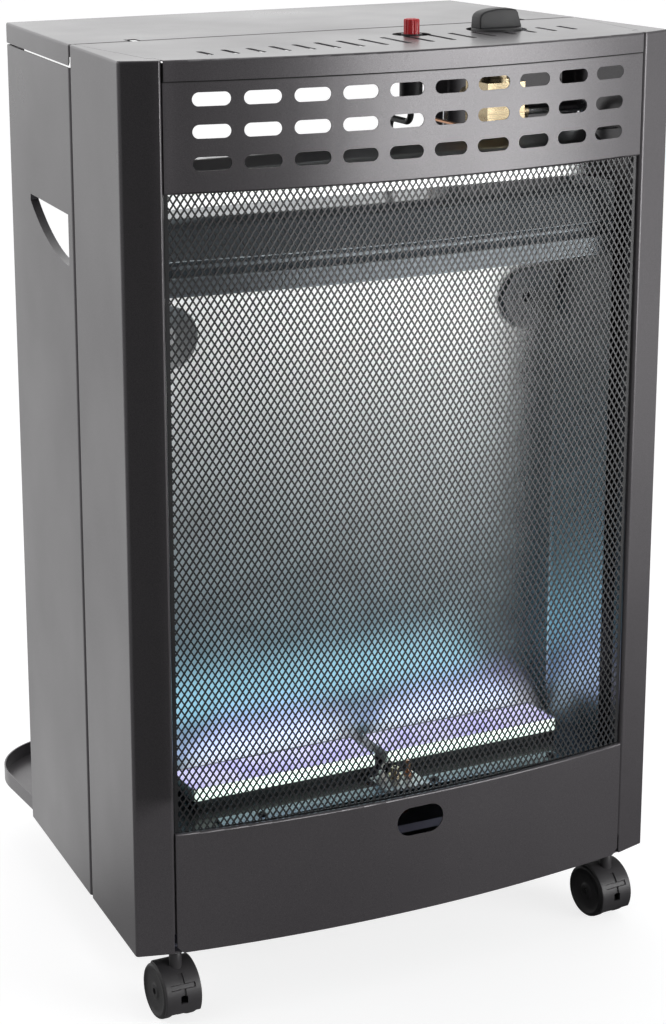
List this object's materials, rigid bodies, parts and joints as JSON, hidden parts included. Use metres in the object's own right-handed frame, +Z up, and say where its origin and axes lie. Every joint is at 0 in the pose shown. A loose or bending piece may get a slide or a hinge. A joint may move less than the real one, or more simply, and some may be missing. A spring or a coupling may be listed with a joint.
{
  "type": "portable propane heater",
  "caption": "Free-standing cabinet gas heater on twin-wheel casters, with a bowed front guard, flat burners before a reflector, a top knob and igniter, and a bottle bay behind.",
  "frame": {"origin": "centre of the footprint's bounding box on the floor under the casters", "axes": "+Z up, -Y towards the bowed front, +X to the right of someone facing along +Y, the side with the knob"},
  "size_m": [0.4696, 0.464, 0.7675],
  "materials": {
    "cabinet_paint": "satin anthracite metallic coating",
    "guard_black": "black coated expanded metal",
    "visor_paint": "heat-resistant black coating",
    "galvanised_steel": "dull zinc",
    "reflector_steel": "bright annealed sheet",
    "bright_steel": "bright plated",
    "dark_screws": "blackened",
    "burner_steel": "heat-toned stainless sheet",
    "ceramic_plaque": "white ceramic ports",
    "ceramic_white": "glazed ceramic",
    "brass": "machined",
    "copper_lead": "copper tube",
    "black_plastic": "fine matt black",
    "red_plastic": "glossy red",
    "lead_sleeve": "silicone sleeve",
    "spring_steel": "drawn wire",
    "caster_steel": "zinc plated",
    "caster_plastic": "black moulded",
    "caster_wheel": "hard black nylon"
  },
  "bodies": {
    "cabinet": {"bulkhead": "galvanised_steel", "burner_plaques": "ceramic_plaque", "burner_tray": "visor_paint", "caster_kingpins": "caster_steel", "control_bracket": "galvanised_steel", "control_nuts": "bright_steel", "cylinder_plate": "cabinet_paint", "firebox_screws": "dark_screws", "firebox_visor": "visor_paint", "flap_hinge_pins": "galvanised_steel", "front_base": "cabinet_paint", "front_guard": "guard_black", "gas_inlet_nipple": "brass", "gas_manifold": "galvanised_steel", "gas_valve_body": "brass", "hood_deflector": "reflector_steel", "igniter_body": "black_plastic", "igniter_spring": "spring_steel", "ignition_lead": "lead_sleeve", "injectors": "brass", "knob_spring": "spring_steel", "left_burner": "burner_steel", "left_side_panel": "cabinet_paint", "left_wing": "cabinet_paint", "lower_front_panel": "cabinet_paint", "mixer_tubes": "burner_steel", "panel_screws": "galvanised_steel", "pilot_bracket": "galvanised_steel", "pilot_burner": "brass", "pilot_tube": "bright_steel", "reflector": "reflector_steel", "reflector_dishes": "bright_steel", "right_burner": "burner_steel", "right_side_panel": "cabinet_paint", "right_wing": "cabinet_paint", "spark_electrode": "ceramic_white", "supply_pipe": "bright_steel", "thermocouple": "copper_lead", "top_panel": "cabinet_paint", "tray_front_rail": "bright_steel", "upper_front_grille": "cabinet_paint", "valve_bonnet": "brass", "wing_pivot_pins": "dark_screws"},
    "swivel_front_left": {"caster_hood_front_left": "caster_plastic"},
    "wheels_front_left": {"caster_wheels_front_left": "caster_wheel", "caster_axle_front_left": "caster_steel"},
    "swivel_front_right": {"caster_hood_front_right": "caster_plastic"},
    "wheels_front_right": {"caster_wheels_front_right": "caster_wheel", "caster_axle_front_right": "caster_steel"},
    "swivel_rear_left": {"caster_hood_rear_left": "caster_plastic"},
    "wheels_rear_left": {"caster_wheels_rear_left": "caster_wheel", "caster_axle_rear_left": "caster_steel"},
    "swivel_rear_right": {"caster_hood_rear_right": "caster_plastic"},
    "wheels_rear_right": {"caster_wheels_rear_right": "caster_wheel", "caster_axle_rear_right": "caster_steel"},
    "rear_flap": {"rear_top_flap": "cabinet_paint"},
    "valve_plug": {"valve_plug": "brass"},
    "knob": {"control_knob": "black_plastic", "valve_spindle": "bright_steel"},
    "igniter_button": {"igniter_button": "red_plastic"}
  },
  "joints": [
    {"name": "flap_lift", "type": "hinge", "parent": "cabinet", "child": "rear_flap", "pos_m": [0, -0.075, 0.746], "axis": [1, 0, 0], "range_deg": [0, 100]},
    {"name": "valve_turn", "type": "hinge", "parent": "cabinet", "child": "valve_plug", "pos_m": [0.115, -0.134, 0.691], "axis": [0, 0, 1], "range_deg": [-150, 60]},
    {"name": "knob_push", "type": "slide", "parent": "valve_plug", "child": "knob", "axis": [0, 0, -1], "range_m": [0, 0.006], "stiffness_N_per_m": 900, "springref_m": -0.004, "deforming": ["knob_spring"]},
    {"name": "igniter_push", "type": "slide", "parent": "cabinet", "child": "igniter_button", "axis": [0, 0, -1], "range_m": [0, 0.008], "stiffness_N_per_m": 900, "springref_m": -0.003, "deforming": ["igniter_spring"]},
    {"name": "swivel_turn_front_left", "type": "hinge", "parent": "cabinet", "child": "swivel_front_left", "pos_m": [-0.201, -0.196, 0.041], "axis": [0, 0, 1], "continuous": true},
    {"name": "wheel_spin_front_left", "type": "hinge", "parent": "swivel_front_left", "child": "wheels_front_left", "pos_m": [-0.201, -0.188, 0.0225], "axis": [1, 0, 0], "continuous": true},
    {"name": "swivel_turn_front_right", "type": "hinge", "parent": "cabinet", "child": "swivel_front_right", "pos_m": [0.201, -0.196, 0.041], "axis": [0, 0, 1], "continuous": true},
    {"name": "wheel_spin_front_right", "type": "hinge", "parent": "swivel_front_right", "child": "wheels_front_right", "pos_m": [0.2003, -0.18803, 0.0225], "axis": [0.9962, 0.0872, 0], "continuous": true},
    {"name": "swivel_turn_rear_left", "type": "hinge", "parent": "cabinet", "child": "swivel_rear_left", "pos_m": [-0.14, 0.114, 0.041], "axis": [0, 0, 1], "continuous": true},
    {"name": "wheel_spin_rear_left", "type": "hinge", "parent": "swivel_rear_left", "child": "wheels_rear_left", "pos_m": [-0.14, 0.122, 0.0225], "axis": [1, 0, 0], "continuous": true},
    {"name": "swivel_turn_rear_right", "type": "hinge", "parent": "cabinet", "child": "swivel_rear_right", "pos_m": [0.14, 0.114, 0.041], "axis": [0, 0, 1], "continuous": true},
    {"name": "wheel_spin_rear_right", "type": "hinge", "parent": "swivel_rear_right", "child": "wheels_rear_right", "pos_m": [0.14, 0.122, 0.0225], "axis": [1, 0, 0], "continuous": true}
  ]
}
